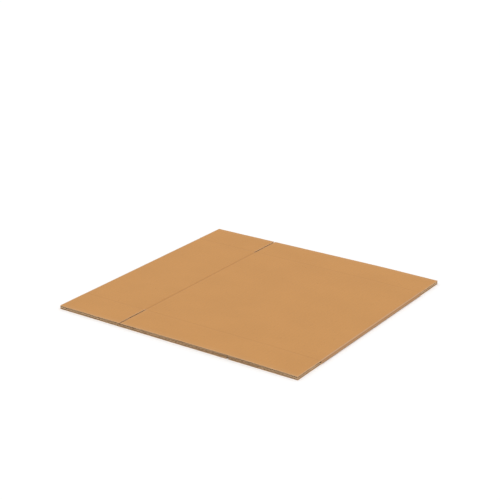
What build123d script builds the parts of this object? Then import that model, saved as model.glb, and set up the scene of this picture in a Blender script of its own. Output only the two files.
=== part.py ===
from build123d import *
import math
import os

# A regular slotted box, folded flat and glued, lying with its glued side underneath.
# X runs across the panels from fold to fold, Y along the flutes from flap edge to flap edge.
# Z is up, and the origin is on the underside at the middle of the folded sheet.

# Inside of the box once it is squared up
inside_length = 406.0
inside_width = 152.0
inside_depth = 381.0

# Single-wall C-flute board
board_thickness = 3.7
liner_thickness = 0.35
medium_thickness = 0.3
flute_pitch = 7.9
crushed_margin = 6.5

# Scores, slots and the two folded sides
score_width = 6.0
score_depth = 0.28
crease_width = 5.0
crease_depth = 0.8
slot_width = 3.0
slot_overrun = 1.5
layer_gap = 0.3
fold_radius = 2.6
fold_thickness = 1.6
fold_dent = 0.6
fold_dent_height = 2.0
pinch_width = 5.0

# Glue tab, crushed by its pressing, and the joint where the first and last panels meet
tab_width = 35.0
tab_thickness = 1.6
tab_end_angle = 15.0
tab_end_setback = 3.0
joint_gap = 3.0

# Sizes that follow from the above
length_panel = inside_length + board_thickness
width_panel = inside_width + board_thickness
flap_depth = width_panel / 2
score_spacing = inside_depth + 2 * board_thickness
flat_width = length_panel + width_panel
flat_depth = score_spacing + 2 * flap_depth
left_fold = -flat_width / 2
right_fold = flat_width / 2
folded_thickness = 2 * board_thickness + layer_gap
upper_layer_base = board_thickness + layer_gap

# The upper layer's crease parts a width panel on the left from a length panel on the right.
# The lower layer's joint has the length panel on the left.
crease_x = left_fold + width_panel
joint_x = left_fold + length_panel
tab_start = joint_x + joint_gap
tab_end = joint_x + tab_width
pinch_left = left_fold + pinch_width
pinch_right = right_fold - pinch_width
flap_score_y = score_spacing / 2
slot_end_y = flap_score_y - slot_overrun
tab_root_y = flap_score_y - tab_end_setback

# Cutting shapes run this far past the board
clearance = 1.0


def lift(x):
    """Height that the glue tab adds under the upper layer at x."""
    if x < tab_start:
        share = (x - pinch_left) / (tab_start - pinch_left)
    elif x > tab_end:
        share = (pinch_right - x) / (pinch_right - tab_end)
    else:
        share = 1.0
    return tab_thickness * max(share, 0.0)


def upper_face(x):
    """Height of the upper layer's outer face at x."""
    return folded_thickness + lift(x)


def dented_side(fold_x, inward):
    """The side of a fold from bottom to top; inward is 1 on the left and -1 on the right."""
    middle = folded_thickness / 2
    half_dent = fold_dent_height / 2
    return [
        (fold_x, 0),
        (fold_x, middle - half_dent),
        (fold_x + inward * fold_dent, middle),
        (fold_x, middle + half_dent),
        (fold_x, folded_thickness),
    ]


def folded_outline():
    """The folded sheet seen from its end: lower layer, joint, round folds, propped upper layer."""
    crease_left = crease_x - crease_width / 2
    crease_right = crease_x + crease_width / 2
    left_side = dented_side(left_fold, 1)
    corners = [
        left_side[0],
        (joint_x, 0),
        (tab_start, board_thickness),
        (tab_start, 0),
        *dented_side(right_fold, -1),
        (pinch_right, folded_thickness),
        (tab_end, upper_face(tab_end)),
        (tab_start, upper_face(tab_start)),
        (crease_right, upper_face(crease_right)),
        (crease_x, upper_face(crease_x) - crease_depth),
        (crease_left, upper_face(crease_left)),
        (pinch_left, folded_thickness),
        *reversed(left_side[1:]),
    ]
    outline = make_face(Polyline(*corners, close=True))
    by_side = outline.vertices().group_by(Axis.X)
    sides = (by_side[0].sort_by(Axis.Y), by_side[-1].sort_by(Axis.Y))
    return fillet([side[end] for side in sides for end in (0, -1)], fold_radius).face()


def gap_between_layers():
    """The narrow space between the two layers, stepped over the glue tab."""
    base = board_thickness
    return Polyline(
        (pinch_left, base),
        (joint_x, base),
        (tab_start, base + tab_thickness),
        (tab_end, base + tab_thickness),
        (tab_end, base),
        (pinch_right, base),
        (pinch_right, upper_layer_base),
        (tab_end, upper_layer_base + tab_thickness),
        (tab_start, upper_layer_base + tab_thickness),
        (pinch_left, upper_layer_base),
        close=True,
    )


def fold_hollow(fold_x, inward):
    """The hollow inside a fold, where the crushed board turns back between the two slots."""
    middle = folded_thickness / 2
    half_gap = layer_gap / 2
    half_height = middle - (board_thickness + fold_thickness) / 2
    corners = [
        (fold_x + inward * (fold_dent + fold_thickness), middle),
        (fold_x + inward * (fold_radius + fold_dent), middle + half_height),
        (fold_x + inward * pinch_width, middle + half_gap),
        (fold_x + inward * pinch_width, middle - half_gap),
        (fold_x + inward * (fold_radius + fold_dent), middle - half_height),
    ]
    section = make_face(Polyline(*corners, close=True))
    return extrude(Plane.XZ * section, slot_end_y, both=True)


def medium_underside(share):
    """Height of the medium's lower face, a share of the pitch away from a crest."""
    swing = board_thickness - 2 * liner_thickness - medium_thickness
    turn = 2 * math.pi * share
    slope = math.pi * swing / flute_pitch * math.sin(turn)
    middle = board_thickness / 2 + swing / 2 * math.cos(turn)
    return middle - medium_thickness / 2 * math.sqrt(1 + slope**2)


def flute_cell(centre, inverted, base):
    """One flute's air space: flat on a liner, arched by the medium."""
    foot, flank, crown = 0.44, 0.27, 0.10
    arch = [
        (-foot, liner_thickness),
        (-flank, medium_underside(flank)),
        (-crown, medium_underside(crown)),
        (crown, medium_underside(crown)),
        (flank, medium_underside(flank)),
        (foot, liner_thickness),
    ]
    points = []
    for share, height in arch:
        x = centre + share * flute_pitch
        z = board_thickness - height if inverted else height
        points.append((x, base(x) + z))
    return Polyline(*points, close=True)


def panel_flutes(start, end, base):
    """The cells of one panel, kept clear of its crushed folds and creases."""
    count = int((end - start - 2 * crushed_margin) // flute_pitch)
    first = (start + end - count * flute_pitch) / 2
    cells = [flute_cell(first + (i + 0.5) * flute_pitch, False, base) for i in range(count)]
    cells += [flute_cell(first + i * flute_pitch, True, base) for i in range(1, count)]
    return cells


def lower_base(x):
    return 0.0


def upper_base(x):
    return upper_layer_base + lift(x)


def fluted_tube(outline):
    """The whole folded sheet as one extrusion along the flutes."""
    openings = [gap_between_layers()]
    openings += panel_flutes(left_fold, joint_x, lower_base)
    openings += panel_flutes(tab_start, right_fold, lower_base)
    openings += panel_flutes(left_fold, crease_x, upper_base)
    openings += panel_flutes(crease_x, right_fold, upper_base)
    section = Face(outline.outer_wire(), [Wire(opening.edges()) for opening in openings])
    return extrude(Plane.XZ * section, flat_depth / 2, both=True)


def span(x_range, y_range, z_range):
    """A block between two values on each axis."""
    size = [high - low for low, high in (x_range, y_range, z_range)]
    middle = [(high + low) / 2 for low, high in (x_range, y_range, z_range)]
    return Pos(*middle) * Box(*size)


def flap_cuts(side):
    """What is cut away to part the flaps along one edge; side is -1 in front, 1 at the back."""
    beyond = flat_depth / 2 + clearance
    slot_run = sorted((side * slot_end_y, side * beyond))
    joint_run = sorted((side * tab_root_y, side * beyond))
    half_slot = slot_width / 2
    above = upper_face(tab_start) + clearance
    mid_gap = board_thickness + layer_gap / 2
    over_tab = board_thickness + tab_thickness + layer_gap / 2
    return [
        span((left_fold - clearance, left_fold + half_slot), slot_run, (-clearance, above)),
        span((right_fold - half_slot, right_fold + clearance), slot_run, (-clearance, above)),
        span((left_fold, pinch_left), slot_run, (board_thickness, upper_layer_base)),
        span((pinch_right, right_fold), slot_run, (board_thickness, upper_layer_base)),
        span((crease_x - half_slot, crease_x + half_slot), slot_run, (mid_gap, above)),
        span((joint_x - half_slot, tab_start), joint_run, (-clearance, over_tab)),
        tab_end_taper(side * tab_root_y, side * beyond, over_tab),
    ]


def tab_end_taper(root_y, beyond_y, top):
    """The end of the glue tab slopes back from its root towards its tip."""
    tip_x = tab_end + clearance
    slope_back = (tip_x - tab_start) * math.tan(math.radians(tab_end_angle))
    tip_y = root_y - math.copysign(slope_back, root_y)
    corners = [(tab_start, root_y), (tip_x, tip_y), (tip_x, beyond_y), (tab_start, beyond_y)]
    taper = make_face(Polyline(*corners, close=True))
    return extrude(Pos(0, 0, board_thickness) * taper, top - board_thickness, dir=(0, 0, 1))


def pressed_score(y, line, outward):
    """A score across the flaps' roots: the groove, and the liner bent down under it."""
    path = Polyline(*[(x, y, z) for x, z in line])
    half = score_width / 2
    dip = -outward * score_depth
    bottom = dip - outward * liner_thickness
    buried = -outward * liner_thickness / 2
    groove = [(-half, 0), (0, dip), (half, 0), (half, outward), (-half, outward)]
    bent_liner = [(-half, 0), (0, dip), (half, 0), (half, buried), (0, bottom), (-half, buried)]
    start = Plane(origin=path @ 0, x_dir=(0, 1, 0), z_dir=(1, 0, 0))
    profiles = [make_face(Polyline(*corners, close=True)) for corners in (groove, bent_liner)]
    return [sweep(start * face, path=path, transition=Transition.RIGHT) for face in profiles]


def flap_scores():
    """The grooves and bent liners at the roots of all the flaps, above and below."""
    first_x = left_fold + fold_radius
    last_x = right_fold - fold_radius
    breaks = (first_x, pinch_left, tab_start, tab_end, pinch_right, last_x)
    upper_line = [(x, upper_face(x)) for x in breaks]
    lower_line = [(first_x, 0), (last_x, 0)]
    grooves = []
    bent_liners = []
    for y in (-flap_score_y, flap_score_y):
        for line, outward in ((upper_line, 1), (lower_line, -1)):
            groove, bent_liner = pressed_score(y, line, outward)
            grooves.append(groove)
            bent_liners.append(bent_liner)
    return grooves, bent_liners


def folded_blank():
    """The finished sheet: folded, slotted, scored and glued."""
    outline = folded_outline()
    envelope = extrude(Plane.XZ * outline, flat_depth / 2, both=True)
    cuts = flap_cuts(-1) + flap_cuts(1)
    cuts += [fold_hollow(left_fold, 1), fold_hollow(right_fold, -1)]
    grooves, bent_liners = flap_scores()
    kept_liners = [(liner & envelope) - cuts for liner in bent_liners]
    return fluted_tube(outline) - (grooves + cuts) + kept_liners


os.makedirs("parts", exist_ok=True)
blank = folded_blank()
blank.label = "folded_blank"
export_step(blank, "parts/folded_blank.step")
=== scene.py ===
import math

import bmesh
import bpy
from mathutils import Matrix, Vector, noise


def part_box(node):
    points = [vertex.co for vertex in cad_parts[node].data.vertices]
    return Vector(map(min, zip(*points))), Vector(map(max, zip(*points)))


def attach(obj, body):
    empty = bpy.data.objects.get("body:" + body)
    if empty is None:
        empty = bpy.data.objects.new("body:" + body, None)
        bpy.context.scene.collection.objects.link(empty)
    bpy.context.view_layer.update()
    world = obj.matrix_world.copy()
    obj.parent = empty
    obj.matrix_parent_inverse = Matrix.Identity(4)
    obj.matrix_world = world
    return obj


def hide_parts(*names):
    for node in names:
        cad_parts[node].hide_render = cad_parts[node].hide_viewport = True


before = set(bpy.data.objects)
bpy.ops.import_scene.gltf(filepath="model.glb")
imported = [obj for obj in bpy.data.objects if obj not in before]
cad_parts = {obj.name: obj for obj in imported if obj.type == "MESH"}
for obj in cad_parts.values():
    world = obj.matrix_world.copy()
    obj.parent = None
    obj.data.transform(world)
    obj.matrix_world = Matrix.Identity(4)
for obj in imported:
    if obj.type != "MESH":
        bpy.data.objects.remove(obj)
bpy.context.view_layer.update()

# The outer liner is the kraft paper that shows on both broad sides and round the two folded edges.
# The box is one blank, cut flat: glue tab, long panel, narrow panel, long panel, narrow panel, each
# panel with a flap at both ends. It is scored and slotted, folded over at two scores, and glued.
low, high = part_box("folded_blank")
flat_width = high.x - low.x
flat_depth = high.y - low.y
board_thickness = 0.0037
tab_thickness = 0.0016
tab_width = 0.035
joint_gap = 0.003
length_panel = 0.4097
width_panel = flat_width - length_panel
folded_thickness = high.z - tab_thickness
flap_score = (flat_depth - width_panel) / 2
half_slot = 0.0015
slot_overrun = 0.0015
tab_end_setback = 0.003
slot_end = flap_score - slot_overrun
tab_root = flap_score - tab_end_setback

# Places along the blank, measured from the score of the glue tab
tab_tip = -tab_width
left_turn = length_panel
middle_crease = left_turn + width_panel
right_turn = middle_crease + length_panel
blank_end = right_turn + width_panel - joint_gap

# The flutes, and the papers while they are still flat
flute_pitch = 0.0079
crushed_margin = 0.0065
liner_thickness = 0.00035
sheet_thickness = 0.001

# The folded sides: round above and below, dented at mid-height, hollow inside
fold_radius = 0.0026
fold_thickness = 0.0016
fold_dent = 0.0006
dent_reach = 0.001
pinch = 0.005
hollow_height = 0.0011
fold_unevenness = 0.00012
even_start = 0.0016
uneven_across = 40
uneven_along = 0.014

# What the press and the knife leave in the board
score_reach = 0.003
score_depth = 0.0002
inner_score_depth = 0.0007
crease_reach = 0.0027
crease_depth = 0.0008
crush_reach = 0.0022
crush_depth = 0.00022
crush_patch = 0.006
crush_even, crush_patchy = 0.6, 0.4
fray_reach = 0.0006
fray = 0.00022
side_fray = 0.0006
fray_patch = 0.002
cut_margin = 0.0001
ragged_fibres = 0.00012
fibre_width = 0.0016
ragged_cut = 0.0002
cut_waver = 0.03
cut_length = 0.05

# How far each mark shows in the paper's colour, painted shade and highlights too, and where round a
# fold it lies
score_shade = 0.2
crease_shade = 0.6
cut_wear = 0.45
# The dent's middle is made paler: rubbed paper and a painted highlight
dent_rub_and_highlight = 0.8
worn_reach = 0.004
# The bend lines a little above and below a fold's middle are painted shade
bend_shade_place = 0.5 * fold_radius
bend_shade_reach = 0.3 * fold_radius
# The pale line round a fold's corners is rubbed paper and a painted highlight
rub_highlight_place = 0.9 * fold_radius
rub_highlight_reach = 0.5 * fold_radius
stretch_start = 0.8 * fold_radius

# How the glue tab and the layers lie
tab_slope = math.tan(math.radians(15))
glue_film = 0.00005
settling = 0.00025
settling_reach = 0.05
settling_across, settling_along = 0.11, 0.13
flap_blend = 0.004


def ease(value, start, end):
    """0 before start, 1 after end, and a smooth change between."""
    share = min(max((value - start) / (end - start), 0.0), 1.0)
    return share * share * (3 - 2 * share)


def swell(distance, reach):
    """1 on a line, easing to 0 at its reach on either side."""
    return 0.5 + 0.5 * math.cos(math.pi * min(abs(distance) / reach, 1.0))


def in_flap(y):
    """0 on the panels, 1 on the flaps."""
    return ease(abs(y), slot_end, slot_end + flap_blend)


def cut_distance(u, y):
    """Distance on the blank from a point to the nearest cut edge."""
    nearest = min(flat_depth / 2 - abs(y), blank_end - u, u - tab_tip)
    for line in (left_turn, middle_crease, right_turn):
        beside, before = abs(u - line) - half_slot, slot_end - abs(y)
        nearest = min(nearest, math.hypot(max(beside, 0), max(before, 0)))
    if u > 0:
        nearest = min(nearest, math.hypot(max(u - half_slot, 0), max(tab_root - abs(y), 0)))
    return nearest


def edge_crush(u, y):
    """How far a cut edge has been pinched by the knife, 0 to 1."""
    near = 1 - ease(cut_distance(u, y), 0, crush_reach)
    return near * (crush_even + crush_patchy * noise.noise(Vector((u, y, 0.3)) / crush_patch))


def frayed(u, y, at_sides):
    """Thickness that a paper gains at a cut; at_sides is that of a cut along the flutes."""
    distance = cut_distance(u, y)
    side = ease(flat_depth / 2 - abs(y) - distance, 0, fray_reach)
    gain = fray + (at_sides - fray) * side
    near = 1 - ease(distance, 0, fray_reach)
    return gain * near * (1 + noise.noise(Vector((u, y, 8.1)) / fray_patch))


def press_depths(u, y):
    """How deep the outer and the inner face are pressed into the board."""
    score = swell(abs(y) - flap_score, score_reach)
    crease = swell(u - middle_crease, crease_reach) * (1 - in_flap(y))
    crush = crush_depth * edge_crush(u, y)
    outer = max(score_depth * score, crease_depth * crease, crush)
    inner = max(inner_score_depth * max(score, crease), crush)
    return outer, inner


def upper_lift(x):
    """How far the glue tab underneath props up the upper layer."""
    tab_start, tab_end = tab_at(-joint_gap), tab_at(tab_tip)
    left, right = low.x + pinch, high.x - pinch
    rising = (x - left) / (tab_start - left)
    falling = (right - x) / (right - tab_end)
    return tab_thickness * max(min(rising, falling, 1.0), 0.0)


def tab_at(u):
    """Place across the folded box of a point on the first panel or its tab."""
    return low.x + length_panel - u


def fold_path(out):
    """Outer face round a fold: how far in from the side, and how far from mid-height."""
    half = folded_thickness / 2
    straight = half - fold_radius
    along = min(abs(out) / fold_radius, 1.0) * (straight + fold_radius * math.pi / 2)
    dent = fold_dent * swell(out, dent_reach)
    if along < straight:
        return dent, along
    turn = (along - straight) / fold_radius
    return dent + fold_radius * (1 - math.cos(turn)), straight + fold_radius * math.sin(turn)


def round_fold(out, share, y):
    """Depth in from the side, and height, of a point a share of the way to a fold's inner face."""
    if abs(out) < fold_radius:
        outer_in, outer_up = fold_path(out)
    else:
        outer_in, outer_up = abs(out), folded_thickness / 2
    gap = folded_thickness / 2 - board_thickness
    along = abs(out) / pinch
    hollow_start = fold_dent + fold_thickness
    inner_in = hollow_start + (pinch - hollow_start) * along
    inner_up = gap * along + hollow_height * math.sin(math.pi * math.sqrt(min(along, 1.0)))
    patch = Vector((out * uneven_across, y / uneven_along, 1.7))
    uneven = fold_unevenness * (0.5 + 0.5 * noise.noise(patch))
    inward = outer_in + uneven * (1 - ease(abs(out), even_start, fold_radius))
    inward += (inner_in - inward) * share
    height = outer_up + (inner_up - outer_up) * share
    return inward, folded_thickness / 2 + math.copysign(height, out)


def folded_place(u, y, w):
    """Where a point of the blank lies in the folded box; w is its depth from the outer face."""
    outer, inner = press_depths(u, y)
    share = outer / board_thickness + w / board_thickness * (1 - (outer + inner) / board_thickness)
    if u < left_turn:
        x, z, turn, side = tab_at(u), share * board_thickness, left_turn - u, -1
    elif u < right_turn:
        x = low.x + u - left_turn
        top = folded_thickness + upper_lift(x)
        waver = 0.5 + 0.5 * noise.noise(Vector((x / settling_across, y / settling_along, 4.2)))
        from_folds = (x - low.x - pinch) / settling_reach, (high.x - pinch - x) / settling_reach
        spread = min(1.0, *from_folds)
        z = top - share * board_thickness - settling * waver * max(spread, 0)
        turn, side = (u - left_turn, -1) if u < middle_crease else (right_turn - u, 1)
    else:
        x, z, turn, side = high.x - (u - right_turn), share * board_thickness, u - right_turn, 1
    if u < 0:
        risen = ease(-u, 0, joint_gap)
        on_tab = share * (tab_thickness - glue_film) + board_thickness + glue_film
        z = z * (1 - risen) + on_tab * risen
    if turn < pinch:
        upper = left_turn < u < right_turn
        inward, height = round_fold(turn if upper else -turn, share, y)
        wall = high.x if side > 0 else low.x
        flat = in_flap(y)
        x = (wall - side * inward) * (1 - flat) + x * flat
        z = height * (1 - flat) + z * flat
    return Vector((x, y, z))


def with_steps(stops, widest):
    """The stops in order, with even steps added where two are further apart than the widest."""
    filled = []
    ordered = sorted(stops)
    rounding = 0.001
    for near, far in zip(ordered, ordered[1:]):
        steps = max(1, math.ceil((far - near) / widest - rounding))
        filled += [near + (far - near) * i / steps for i in range(steps)]
    return filled + [ordered[-1]]


def lines_across(widest):
    """Places along the blank for the sheet's lines of vertices, close together at the scores."""
    tab_step, fold_step = 0.0005, 0.0004
    beside_fold = (0.0032, 0.004, pinch, 0.007)
    stops = {tab_tip, tab_tip + crush_reach, -joint_gap, 0.0, half_slot, blank_end}
    stops |= {blank_end - crush_reach / 2, blank_end - crush_reach}
    stops |= set(with_steps([-joint_gap, 0.0], tab_step))
    for line in (left_turn, middle_crease, right_turn):
        for way in (-1, 1):
            near = [line + way * reach for reach in (0, half_slot, fold_radius)]
            stops |= set(with_steps(near, fold_step))
            stops |= {line + way * reach for reach in beside_fold}
    return with_steps(stops, widest)


def lines_along(widest, score_step):
    """Places along the flutes for the sheet's lines of vertices, from flap edge to flap edge."""
    edge, past_blend = flat_depth / 2, 0.002
    score = with_steps([tab_root, slot_end, flap_score, flap_score + score_reach], score_step)
    half = {0.0, edge, edge - crush_reach / 4, edge - crush_reach / 2, edge - crush_reach}
    half |= set(score) | {flap_score - 2 * score_reach, slot_end + flap_blend + past_blend}
    half = with_steps(half, widest)
    return [-y for y in reversed(half[1:])] + half


def flat_sheet(across, along):
    """A flat sheet of paper cut to the blank's outline, with its slots."""
    bm = bmesh.new()
    columns, rows = len(across) - 1, len(along) - 1
    bmesh.ops.create_grid(bm, x_segments=columns, y_segments=rows, size=0.5)
    for vert in bm.verts:
        u = across[round((vert.co.x + 0.5) * columns)]
        vert.co = (u, along[round((vert.co.y + 0.5) * rows)], 0)
    waste = []
    for face in bm.faces:
        u, y, _ = face.calc_center_median()
        slots = (left_turn, middle_crease, right_turn)
        slotted = abs(y) > slot_end and min(abs(u - line) for line in slots) < half_slot
        if slotted or (abs(y) > tab_root and u < half_slot):
            waste.append(face)
    bmesh.ops.delete(bm, geom=waste, context="FACES")
    bmesh.ops.solidify(bm, geom=bm.faces[:], thickness=sheet_thickness)
    # The rims come in a different order each run, so all is put in order of its corners
    bm.verts.index_update()
    for parts in (bm.edges, bm.faces):
        in_order = sorted(parts, key=lambda part: sorted(vert.index for vert in part.verts))
        rank = {part: number for number, part in enumerate(in_order)}
        parts.sort(key=rank.get)
    return bm


def flutes_at(u):
    """How many flutes in from its panel's first one a point lies, and which way that one goes."""
    panels = (
        (tab_tip, 0.0, -1),
        (0.0, left_turn, -1),
        (left_turn, middle_crease, 1),
        (middle_crease, right_turn, 1),
        (right_turn, blank_end, -1),
    )
    for start, end, way in panels:
        if u <= end:
            break
    count = (end - start - 2 * crushed_margin) // flute_pitch
    first = (start + end - count * flute_pitch) / 2
    return (u - first) / flute_pitch, way


def fold_sheet(name, bm, placed, papers):
    """Finishes a flat sheet: marks its rims, creases, wear, painted shade and highlights, ruffles
    its ends, folds it.
    """
    blank_uv = bm.loops.layers.uv.new("blank")
    pressed_and_shaded = bm.verts.layers.float.new("pressed_and_shaded")
    stretched = bm.verts.layers.float.new("stretched")
    worn_and_lit = bm.verts.layers.float.new("worn_and_lit")
    flutes = bm.verts.layers.float.new("flutes")
    for face in bm.faces:
        rim = abs(face.normal.z) < 0.5
        face.material_index = 1 if rim else 0
        face.smooth = not rim
        for loop in face.loops:
            loop[blank_uv].uv = loop.vert.co.xy
    for edge in bm.edges:
        edge.smooth = len({face.material_index for face in edge.link_faces}) == 1
    for vert in bm.verts:
        u, y, upper = vert.co.x, vert.co.y, vert.co.z > -sheet_thickness / 2
        body = 1 - in_flap(y)
        turn = min(abs(u - left_turn), abs(u - right_turn))
        score = swell(abs(y) - flap_score, score_reach)
        crease = swell(u - middle_crease, crease_reach) * body
        tab_score = swell(u, crease_reach)
        # The bend lines are painted shade, carried with the pressed score and crease marks
        bend_shade = body * swell(turn - bend_shade_place, bend_shade_reach)
        scored = max(score_shade * score, crease_shade * crease, crease_shade * tab_score)
        vert[pressed_and_shaded] = max(scored, bend_shade)
        vert[stretched] = body * (1 - ease(turn, stretch_start, pinch))
        # A fold's corners and the dent's middle are made paler: rubbed paper and a painted
        # highlight
        rubbed_lit_corner = swell(turn - rub_highlight_place, rub_highlight_reach)
        rubbed_and_lit = body * max(rubbed_lit_corner, dent_rub_and_highlight * swell(turn, dent_reach))
        vert[worn_and_lit] = max(cut_wear * (1 - ease(cut_distance(u, y), 0, worn_reach)), rubbed_and_lit)
        vert[flutes] = flutes_at(u)[0]
        if u < -joint_gap:
            y *= (tab_root + (u + joint_gap) * tab_slope) / tab_root
        fibres = Vector((u / fibre_width, y / cut_length, len(name)))
        cut = Vector((u / cut_waver, y / cut_length, 2.0))
        ragged = ragged_fibres * noise.noise(fibres) + ragged_cut * noise.noise(cut)
        at_edge = 1 - ease(flat_depth / 2 - abs(y), 0, crush_reach)
        y -= math.copysign((cut_margin + ragged) * at_edge, y)
        moved_u, w = placed(u, y, upper)
        vert.co = folded_place(moved_u, y, w)
    bmesh.ops.recalc_face_normals(bm, faces=bm.faces[:])
    # On a thin folded sheet the faces can all come out pointing inwards
    if bm.calc_volume(signed=True) < 0:
        bmesh.ops.reverse_faces(bm, faces=bm.faces[:])
    mesh = bpy.data.meshes.new(name)
    bm.to_mesh(mesh)
    bm.free()
    piece = bpy.data.objects.new(name, mesh)
    bpy.context.scene.collection.objects.link(piece)
    for paper in papers:
        mesh.materials.append(paper)
    return piece


def printed_colour(red, green, blue):
    """A colour given as it shows on a screen, 0 to 255, turned into the shader's own scale."""
    shares = [value / 255 for value in (red, green, blue)]
    linear = [s / 12.92 if s <= 0.04045 else ((s + 0.055) / 1.055) ** 2.4 for s in shares]
    return (*linear, 1.0)


def shader(tree, kind, sockets=None, **settings):
    """A shader node with its settings made and its sockets set or linked."""
    made = tree.nodes.new(kind)
    for name, value in settings.items():
        setattr(made, name, value)
    for name, value in (sockets or {}).items():
        if isinstance(value, bpy.types.NodeSocket):
            tree.links.new(value, made.inputs[name])
        else:
            made.inputs[name].default_value = value
    return made


def maths(tree, operation, *values):
    """The result of one sum on the given sockets or numbers."""
    return shader(tree, "ShaderNodeMath", dict(enumerate(values)), operation=operation).outputs[0]


def remapped(tree, value, start, end, lowest=0.0, highest=1.0):
    """A value taken from start..end to lowest..highest, smoothly."""
    sockets = {0: value, 1: start, 2: end, 3: lowest, 4: highest}
    return shader(tree, "ShaderNodeMapRange", sockets, interpolation_type="SMOOTHSTEP").outputs[0]


def tinted(tree, share, colour, tint, way="MIX"):
    """A colour with a share of a tint mixed in, or multiplied in."""
    sockets = {0: share, 6: colour, 7: tint}
    return shader(tree, "ShaderNodeMix", sockets, data_type="RGBA", blend_type=way).outputs[2]


def stretched_noise(tree, place, scale, detail, roughness=0.5):
    """Noise with its own scale in each direction, in cycles a metre."""
    moved = shader(tree, "ShaderNodeMapping", {"Vector": place, "Scale": scale}).outputs[0]
    sockets = {"Vector": moved, "Scale": 1.0, "Detail": detail, "Roughness": roughness}
    return shader(tree, "ShaderNodeTexNoise", sockets).outputs[0]


def attribute(tree, name):
    """A value painted on the sheet's vertices."""
    return shader(tree, "ShaderNodeAttribute", attribute_name=name).outputs["Fac"]


def raise_surface(tree, relief, strength):
    """Gives the finish a relief of a tenth of a millimetre at most."""
    sockets = {"Height": relief, "Strength": strength, "Distance": 0.0001}
    bump = shader(tree, "ShaderNodeBump", sockets).outputs[0]
    tree.links.new(bump, tree.nodes["Principled BSDF"].inputs["Normal"])


def kraft_paper(name, colour, pale, washboard):
    """Unbleached paper: clouds, fibres along the web, bark flecks, and flutes showing through."""
    bark = printed_colour(120, 78, 44)
    # The stretched tone darkens a folded side: the stretched paper's own tone and painted shade
    stretched_and_shade_tone = printed_colour(172, 128, 92)
    # The pressed tone darkens scores and creases, and paints shade on the bend lines of a fold
    pressed_and_shade_tone = printed_colour(146, 98, 58)
    rib_shade = 0.006
    bark_share, stretched_and_shade_share, worn_and_lit_share, pressed_and_shade_share = 0.4, 0.4, 0.45, 0.5
    crack_share, crack_least = 0.35, 0.05
    pressed_gloss = 0.18
    formation_relief, fibre_relief, crack_relief = 0.12, 0.08, 0.4
    material = bpy.data.materials.new(name)
    material.use_nodes = True
    tree = material.node_tree
    surface = tree.nodes["Principled BSDF"]
    place = shader(tree, "ShaderNodeUVMap", uv_map="blank").outputs[0]
    clouds = stretched_noise(tree, place, (11, 15, 1), 3)
    formation = stretched_noise(tree, place, (230, 330, 1), 4, 0.6)
    fibres = stretched_noise(tree, place, (420, 3300, 1), 2, 0.6)
    cracks = stretched_noise(tree, place, (3800, 260, 1), 2, 0.6)
    marks = ("pressed_and_shaded", "stretched", "worn_and_lit")
    pressed_and_shaded, stretched, worn_and_lit = (attribute(tree, mark) for mark in marks)
    wave = maths(tree, "COSINE", maths(tree, "MULTIPLY", attribute(tree, "flutes"), 2 * math.pi))
    crushed = maths(tree, "MAXIMUM", pressed_and_shaded, stretched)
    wave = maths(tree, "MULTIPLY", wave, maths(tree, "SUBTRACT", 1.0, crushed))

    cloudy = remapped(tree, clouds, 0.3, 0.7, 0.985, 1.015)
    fine = remapped(tree, formation, 0.25, 0.75, 0.965, 1.035)
    streak = remapped(tree, fibres, 0.25, 0.8, 0.965, 1.03)
    ribbed = maths(tree, "MULTIPLY_ADD", wave, rib_shade, 1.0)
    shade = tinted(tree, 0.0, colour, colour)
    for level in (cloudy, fine, streak, ribbed):
        shade = tinted(tree, 1.0, shade, level, "MULTIPLY")

    spots = shader(tree, "ShaderNodeMapping", {"Vector": place, "Scale": (130, 300, 1)}).outputs[0]
    spot = shader(tree, "ShaderNodeTexVoronoi", {"Vector": spots, "Scale": 1.0})
    chosen = shader(tree, "ShaderNodeSeparateColor", {0: spot.outputs["Color"]}).outputs[0]
    fleck = remapped(tree, spot.outputs["Distance"], 0.22, 0.06)
    fleck = maths(tree, "MULTIPLY", fleck, remapped(tree, chosen, 0.86, 0.96))
    shade = tinted(tree, maths(tree, "MULTIPLY", fleck, bark_share), shade, bark)

    open_crack = remapped(tree, cracks, 0.5, 0.68)
    opened = maths(tree, "MULTIPLY_ADD", open_crack, crack_share, crack_least)
    split = maths(tree, "MULTIPLY", stretched, opened)
    # Painted shade over the folded sides, mixed with the stretched paper's own tone
    drawn_and_shaded = maths(tree, "MULTIPLY", stretched, stretched_and_shade_share)
    shade = tinted(tree, drawn_and_shaded, shade, stretched_and_shade_tone)
    shade = tinted(tree, split, shade, pale)
    # Painted highlight on a fold's corners and dent, with real wear at the cut edges
    shade = tinted(tree, maths(tree, "MULTIPLY", worn_and_lit, worn_and_lit_share), shade, pale)
    # Pressed scores and creases, with painted shade on the bend lines of a fold
    shade = tinted(tree, maths(tree, "MULTIPLY", pressed_and_shaded, pressed_and_shade_share), shade, pressed_and_shade_tone)
    tree.links.new(shade, surface.inputs["Base Color"])

    dull = remapped(tree, formation, 0.2, 0.8, 0.72, 0.9)
    dull = maths(tree, "SUBTRACT", dull, maths(tree, "MULTIPLY", pressed_and_shaded, pressed_gloss))
    tree.links.new(dull, surface.inputs["Roughness"])
    surface.inputs["Specular IOR Level"].default_value = 0.25

    relief = maths(tree, "MULTIPLY", wave, washboard)
    relief = maths(tree, "ADD", relief, maths(tree, "MULTIPLY", formation, formation_relief))
    relief = maths(tree, "ADD", relief, maths(tree, "MULTIPLY", fibres, fibre_relief))
    cracked = maths(tree, "MULTIPLY", stretched, open_crack)
    relief = maths(tree, "SUBTRACT", relief, maths(tree, "MULTIPLY", cracked, crack_relief))
    raise_surface(tree, relief, 1.0)
    return material


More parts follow.
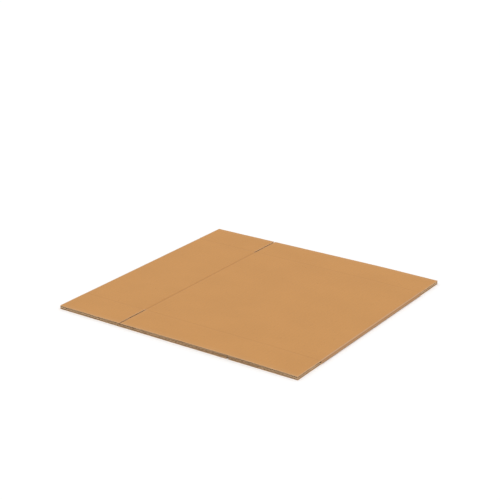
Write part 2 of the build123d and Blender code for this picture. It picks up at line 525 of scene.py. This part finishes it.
def raw_edge(name, colour, pale):
    """Paper cut across: a fuzzy, greyer edge of torn fibres."""
    material = bpy.data.materials.new(name)
    material.use_nodes = True
    tree = material.node_tree
    surface = tree.nodes["Principled BSDF"]
    place = shader(tree, "ShaderNodeTexCoord").outputs["Object"]
    torn = stretched_noise(tree, place, (1500, 1500, 5200), 3, 0.65)
    blotch = stretched_noise(tree, place, (120, 120, 900), 3)
    shade = tinted(tree, remapped(tree, torn, 0.35, 0.7), colour, pale)
    shade = tinted(tree, 1.0, shade, remapped(tree, blotch, 0.3, 0.7, 0.82, 1.08), "MULTIPLY")
    tree.links.new(shade, surface.inputs["Base Color"])
    surface.inputs["Roughness"].default_value = 0.95
    surface.inputs["Specular IOR Level"].default_value = 0.2
    raise_surface(tree, torn, 0.8)
    return material


outer_colour = printed_colour(201, 146, 87)
outer_pale = printed_colour(214, 182, 150)
outer_kraft = kraft_paper("outer_kraft", outer_colour, outer_pale, washboard=0.5)
kraft_edge = raw_edge("kraft_edge", printed_colour(238, 192, 145), printed_colour(252, 222, 182))


def outer_liner_place(u, y, upper):
    """The outer liner lies against the outside of the board."""
    return u, liner_thickness + frayed(u, y, side_fray) if upper else 0.0


outer_sheet = flat_sheet(lines_across(widest=0.004), lines_along(widest=0.012, score_step=0.0008))
outer_liner = fold_sheet("outer_liner", outer_sheet, outer_liner_place, (outer_kraft, kraft_edge))
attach(outer_liner, "root")
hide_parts("folded_blank")

# The fluted medium is one sheet of recycled paper, corrugated while it is hot and damp and glued
# by its crests to both liners. Its waves run the length of the flaps and panels, and show at both
# cut edges.
medium_thickness = 0.0003
wave_height = board_thickness - 2 * liner_thickness - medium_thickness
crushed_share = 0.15
crushed_from, crushed_to = 0.002, 0.007
packed_thickness = 0.0026
lean_limit = 0.0012
lean_waver = 0.014
steepest = 1.3
steps_per_flute = 12


def crushed_at(u, y):
    """How far the flutes are crushed by the fold or score nearby, 0 to 1."""
    to_score = min(abs(u - line) for line in (0.0, left_turn, middle_crease, right_turn))
    return (1 - ease(to_score, crushed_from, crushed_to)) * (1 - in_flap(y))


def wave_at(u, y):
    """Depth of the medium's middle from the board's outer face; the knife pushes flutes over."""
    pushed = 1 - ease(cut_distance(u, y), 0, crush_reach)
    lean = lean_limit * pushed * noise.noise(Vector((u / lean_waver, y / cut_length, 5.5)))
    turns, way = flutes_at(u + lean)
    kept = 1 - (1 - crushed_share) * crushed_at(u, y)
    return board_thickness / 2 + way * kept * wave_height / 2 * math.cos(2 * math.pi * turns)


def medium_place(u, y, upper):
    """A face of the medium, half its thickness from its middle, square to the wave."""
    step = 0.00005
    slope = (wave_at(u + step, y) - wave_at(u - step, y)) / (2 * step)
    slope = max(min(slope, steepest), -steepest)
    packed = (packed_thickness - medium_thickness) * crushed_at(u, y) ** 2
    half = (medium_thickness + packed + frayed(u, y, fray)) / (2 if upper else -2)
    length = math.hypot(1.0, slope)
    return u - half * slope / length, wave_at(u, y) + half / length


# The medium is darker than the liners: recycled paper's own tone and painted shade inside the open
# flutes
medium_and_flute_shade_colour = printed_colour(156, 115, 78)
medium_pale = printed_colour(194, 158, 122)
medium_paper = kraft_paper("medium_paper", medium_and_flute_shade_colour, medium_pale, washboard=0.0)
medium_edge = raw_edge("medium_edge", printed_colour(240, 198, 152), printed_colour(252, 224, 184))
medium_lines = lines_across(widest=flute_pitch / steps_per_flute)
medium_sheet = flat_sheet(medium_lines, lines_along(widest=0.1, score_step=0.003))
fluted_medium = fold_sheet("fluted_medium", medium_sheet, medium_place, (medium_paper, medium_edge))
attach(fluted_medium, "root")
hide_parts("folded_blank")

# The inner liner is the kraft paper that faces the inside of the box, glued on last at the board
# mill. Folded flat it shows only as the inner line of each layer's cut edge and in the slots.
# The inner liner is darker than the outer: duller kraft's own tone and painted shade inside the
# open flutes
inner_and_flute_shade_colour = printed_colour(176, 129, 82)
inner_pale = printed_colour(204, 165, 122)
inner_paper = kraft_paper("inner_paper", inner_and_flute_shade_colour, inner_pale, washboard=0.5)
inner_edge = raw_edge("inner_edge", printed_colour(238, 192, 145), printed_colour(252, 222, 182))


def inner_liner_place(u, y, upper):
    """The inner liner lies against the inside of the board."""
    return u, board_thickness - (0.0 if upper else liner_thickness + frayed(u, y, side_fray))


inner_sheet = flat_sheet(lines_across(widest=0.006), lines_along(widest=0.03, score_step=0.0015))
inner_liner = fold_sheet("inner_liner", inner_sheet, inner_liner_place, (inner_paper, inner_edge))
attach(inner_liner, "root")
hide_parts("folded_blank")

# The floor is a plain pale sweep. It shows white, and keeps the box's own soft shadow.
floor_reach = 30.0
floor_bounce = (0.8, 0.8, 0.8, 1)
floor_glow = 0.03
white = (1, 1, 1, 1)
bm = bmesh.new()
bmesh.ops.create_grid(bm, x_segments=1, y_segments=1, size=floor_reach)
floor_mesh = bpy.data.meshes.new("floor")
bm.to_mesh(floor_mesh)
bm.free()
floor = bpy.data.objects.new("floor", floor_mesh)
bpy.context.scene.collection.objects.link(floor)


def seen_directly(tree):
    """1 for rays from the lens and for those that mirror or pass, 0 for light that bounces."""
    rays = shader(tree, "ShaderNodeLightPath")
    glossy, passing = rays.outputs["Is Glossy Ray"], rays.outputs["Is Transmission Ray"]
    mirrored = maths(tree, "MAXIMUM", glossy, passing)
    return maths(tree, "MAXIMUM", rays.outputs["Is Camera Ray"], mirrored)


floor_paint = bpy.data.materials.new("floor_paint")
floor_paint.use_nodes = True
tree = floor_paint.node_tree
surface = tree.nodes["Principled BSDF"]
direct = seen_directly(tree)
tone = tinted(tree, direct, floor_bounce, white)
tree.links.new(tone, surface.inputs["Base Color"])
surface.inputs["Roughness"].default_value = 1.0
surface.inputs["Specular IOR Level"].default_value = 0.0
surface.inputs["Emission Color"].default_value = white
tree.links.new(maths(tree, "MULTIPLY", direct, floor_glow), surface.inputs["Emission Strength"])
floor_mesh.materials.append(floor_paint)

# Light: an even white room, and one broad soft lamp from high up in front.
room_level = 0.72
lamp_level = 1.0
lamp_angle = 50
lamp_from = Vector((0.35, -0.7, 1.6))
world = bpy.data.worlds.new("room")
world.use_nodes = True
bpy.context.scene.world = world
tree = world.node_tree
backdrop = tree.nodes["Background"]
levels = {0: seen_directly(tree), 3: room_level, 4: 1.0}
level = shader(tree, "ShaderNodeMapRange", levels).outputs[0]
backdrop.inputs["Color"].default_value = white
tree.links.new(level, backdrop.inputs["Strength"])

lamp = bpy.data.lights.new("lamp", "SUN")
lamp.energy = lamp_level
lamp.angle = math.radians(lamp_angle)
lamp_holder = bpy.data.objects.new("lamp", lamp)
lamp_holder.rotation_mode = "QUATERNION"
lamp_holder.rotation_quaternion = lamp_from.to_track_quat("Z", "Y")
bpy.context.scene.collection.objects.link(lamp_holder)

# The camera looks down from over the front corner, from a long way off through a long lens.
view_azimuth = math.radians(-34.469)
view_elevation = math.radians(20.878)
look_at = Vector((-0.1554, 0.2149, 0.0))
view_distance = 2.9069
looking = Vector((
    math.sin(view_azimuth) * math.cos(view_elevation),
    math.cos(view_azimuth) * math.cos(view_elevation),
    -math.sin(view_elevation),
))
camera = bpy.data.cameras.new("camera")
camera.sensor_width = 36.0
camera.lens = 93.6
camera_holder = bpy.data.objects.new("camera", camera)
camera_holder.location = look_at - looking * view_distance
camera_holder.rotation_mode = "QUATERNION"
camera_holder.rotation_quaternion = looking.to_track_quat("-Z", "Y")
bpy.context.scene.collection.objects.link(camera_holder)
bpy.context.scene.camera = camera_holder
bpy.context.scene.view_settings.view_transform = "Standard"
